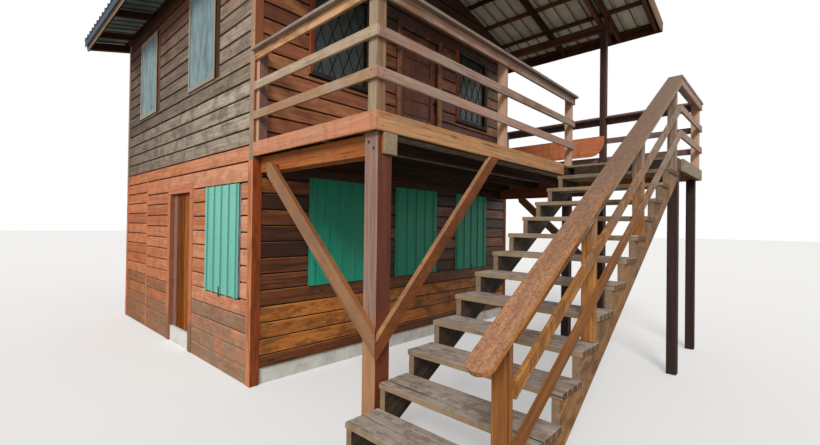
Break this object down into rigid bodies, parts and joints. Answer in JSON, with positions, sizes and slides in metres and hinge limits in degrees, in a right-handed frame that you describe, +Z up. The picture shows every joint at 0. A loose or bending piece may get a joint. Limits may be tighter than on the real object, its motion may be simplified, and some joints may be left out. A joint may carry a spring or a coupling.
{
  "type": "stilt house",
  "caption": "Two-storey timber house with ribbed shutters, a porch deck on braced posts, an open stair to a railed landing and a low gable roof of ribbed metal; its entry door swings inwards.",
  "frame": {"origin": "ground level under the middle of the house's own footprint, not counting the deck", "axes": "+Z up; +X across the gable, along the rise of the stair; +Y from the porch to the back"},
  "size_m": [6.0508, 8.4773, 5.6088],
  "materials": {
    "concrete": "cast concrete, trowelled",
    "stained_posts": "dark reddish stain on sawn timber",
    "stained_boards": "orange-brown stain on lapped boards, worn",
    "stained_trim": "orange stain on planed trim, worn",
    "red_boards": "reddish stain on lapped boards",
    "weathered_boards": "weathered grey-brown boards",
    "worn_timber": "worn stained timber",
    "handrail_timber": "worn red-brown stain",
    "weathered_planks": "weathered grey planks",
    "deck_planks": "worn boards",
    "sawn_timber": "unplaned sawn timber, darkened",
    "teal_sheet": "teal paint on ribbed steel sheet",
    "pale_paint": "pale blue-grey paint, worn",
    "roof_metal": "ribbed coated steel roofing",
    "barge_paint": "tan paint",
    "window_glass": "dark glass behind a lattice"
  },
  "bodies": {
    "root": {"ground_slab": "concrete", "lower_wall_posts": "stained_posts", "front_wall_lower": "stained_boards", "left_wall_lower_front": "stained_boards", "left_wall_lower_rear": "stained_boards", "left_wall_over_door": "stained_boards", "right_wall_lower": "stained_boards", "back_wall_lower": "stained_boards", "entry_door_frame": "stained_trim", "lower_shutters": "teal_sheet", "floor_joists": "sawn_timber", "floor_rims": "sawn_timber", "upper_floor": "sawn_timber", "upper_corner_boards": "stained_trim", "front_wall_upper": "red_boards", "left_wall_upper": "weathered_boards", "right_wall_upper": "weathered_boards", "back_wall_upper": "weathered_boards", "front_frames": "stained_trim", "window_panes": "window_glass", "upper_door": "red_boards", "upper_shutters": "pale_paint", "deck_posts": "stained_posts", "deck_braces": "stained_posts", "deck_beams": "sawn_timber", "deck_joists": "sawn_timber", "deck_boards": "deck_planks", "landing_boards": "deck_planks", "side_fascias": "stained_trim", "front_fascias": "stained_trim", "stair_stringers": "worn_timber", "stair_treads": "weathered_planks", "stair_posts": "worn_timber", "stair_rails": "worn_timber", "stair_handrail": "handrail_timber", "balustrade_posts": "worn_timber", "side_rails": "worn_timber", "front_rails": "worn_timber", "side_caps": "handrail_timber", "front_caps": "handrail_timber", "side_board": "stained_trim", "roof_posts": "stained_posts", "wall_plates": "sawn_timber", "rafters": "sawn_timber", "ridge_board": "sawn_timber", "purlins": "sawn_timber", "roof_sheets": "roof_metal", "ridge_cap": "roof_metal", "barge_boards": "barge_paint", "eave_boards": "barge_paint"},
    "entry_door_leaf": {"entry_door": "stained_boards"}
  },
  "joints": [
    {"name": "entry_door_hinge", "type": "hinge", "parent": "root", "child": "entry_door_leaf", "pos_m": [-2.374, 0.065, 1.1], "axis": [0, 0, 1], "range_deg": [0, 94]}
  ]
}
